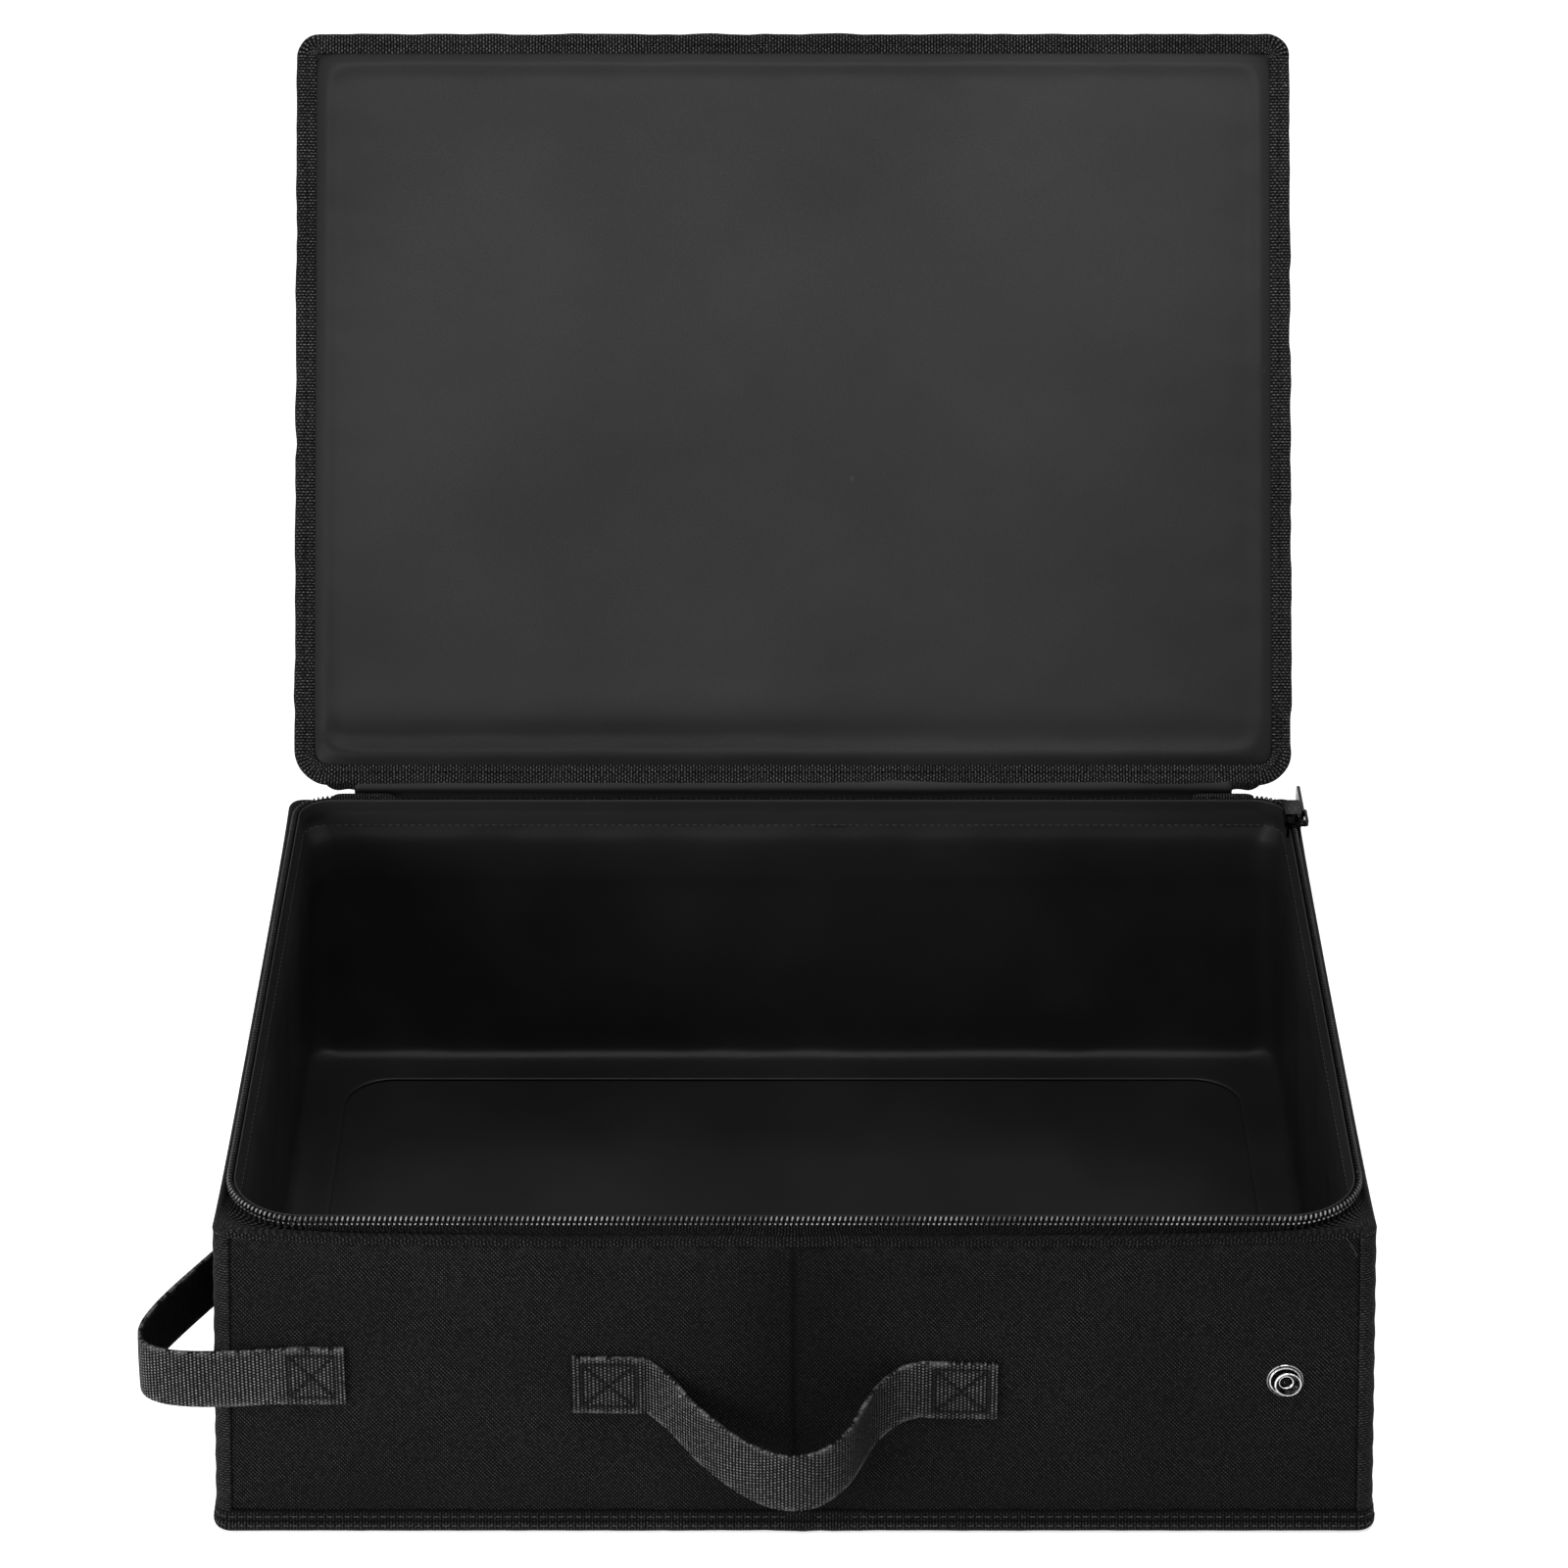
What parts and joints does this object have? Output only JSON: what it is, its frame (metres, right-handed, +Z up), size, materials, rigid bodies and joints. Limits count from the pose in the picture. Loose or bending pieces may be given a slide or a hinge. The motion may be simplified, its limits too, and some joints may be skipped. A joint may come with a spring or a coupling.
{
  "type": "foldable litter box",
  "caption": "Open rectangular fabric tub with board-stiffened walls, a waterproof liner, webbing handles, a press stud and a hinged zip-round lid.",
  "frame": {"origin": "middle of the base, on the surface it stands on", "axes": "+Z up, -Y towards the front wall with the handle, +X to the right seen from the front, lid hinged at the back (+Y)"},
  "size_m": [0.4436, 0.5083, 0.3947],
  "materials": {
    "outer_fabric": "coarse black woven polyester, slightly coated",
    "binding_tape": "black woven grosgrain tape",
    "coated_liner": "smooth waterproof coated cloth",
    "stiffening_board": "plain board, hidden in the walls",
    "zip_tape": "black herringbone zip tape",
    "zip_chain": "black nylon coil",
    "webbing": "ribbed dark webbing",
    "black_metal": "glossy black plated metal"
  },
  "bodies": {
    "box": {"front_panel_left": "outer_fabric", "front_panel_right": "outer_fabric", "back_panel_left": "outer_fabric", "back_panel_right": "outer_fabric", "left_side_panel": "outer_fabric", "right_side_panel": "outer_fabric", "bottom_panel": "outer_fabric", "corner_binding_front_left": "binding_tape", "corner_binding_front_right": "binding_tape", "corner_binding_back_left": "binding_tape", "corner_binding_back_right": "binding_tape", "base_binding": "binding_tape", "rim_hem": "binding_tape", "zip_end_tab_left": "binding_tape", "zip_end_tab_right": "binding_tape", "hinge_strip_box": "binding_tape", "waterproof_liner": "coated_liner", "front_board_left": "stiffening_board", "front_board_right": "stiffening_board", "back_board_left": "stiffening_board", "back_board_right": "stiffening_board", "left_side_board": "stiffening_board", "right_side_board": "stiffening_board", "bottom_board": "stiffening_board", "zip_tape_box": "zip_tape", "zip_chain_box": "zip_chain", "front_handle": "webbing", "corner_strap": "webbing", "snap_stud": "black_metal", "snap_rivet": "black_metal"},
    "lid": {"lid_lining": "coated_liner", "lid_board": "stiffening_board", "lid_cover": "outer_fabric", "lid_binding": "binding_tape", "zip_tape_lid": "zip_tape", "zip_chain_lid": "zip_chain", "hinge_strip_lid": "binding_tape"},
    "zip_slider_body": {"zip_slider": "black_metal"},
    "zip_pull_body": {"zip_pull": "black_metal"}
  },
  "joints": [
    {"name": "lid_hinge", "type": "hinge", "parent": "box", "child": "lid", "pos_m": [0, 0.1543, 0.1327], "axis": [-1, 0, 0], "range_deg": [-121, 59]},
    {"name": "slider_slide", "type": "slide", "parent": "box", "child": "zip_slider_body", "axis": [0, -1, 0], "range_m": [0, 0.245]},
    {"name": "pull_swing", "type": "hinge", "parent": "zip_slider_body", "child": "zip_pull_body", "pos_m": [0.2039, 0.13095, 0.1321], "axis": [0, 0, -1], "range_deg": [0, 170]}
  ]
}
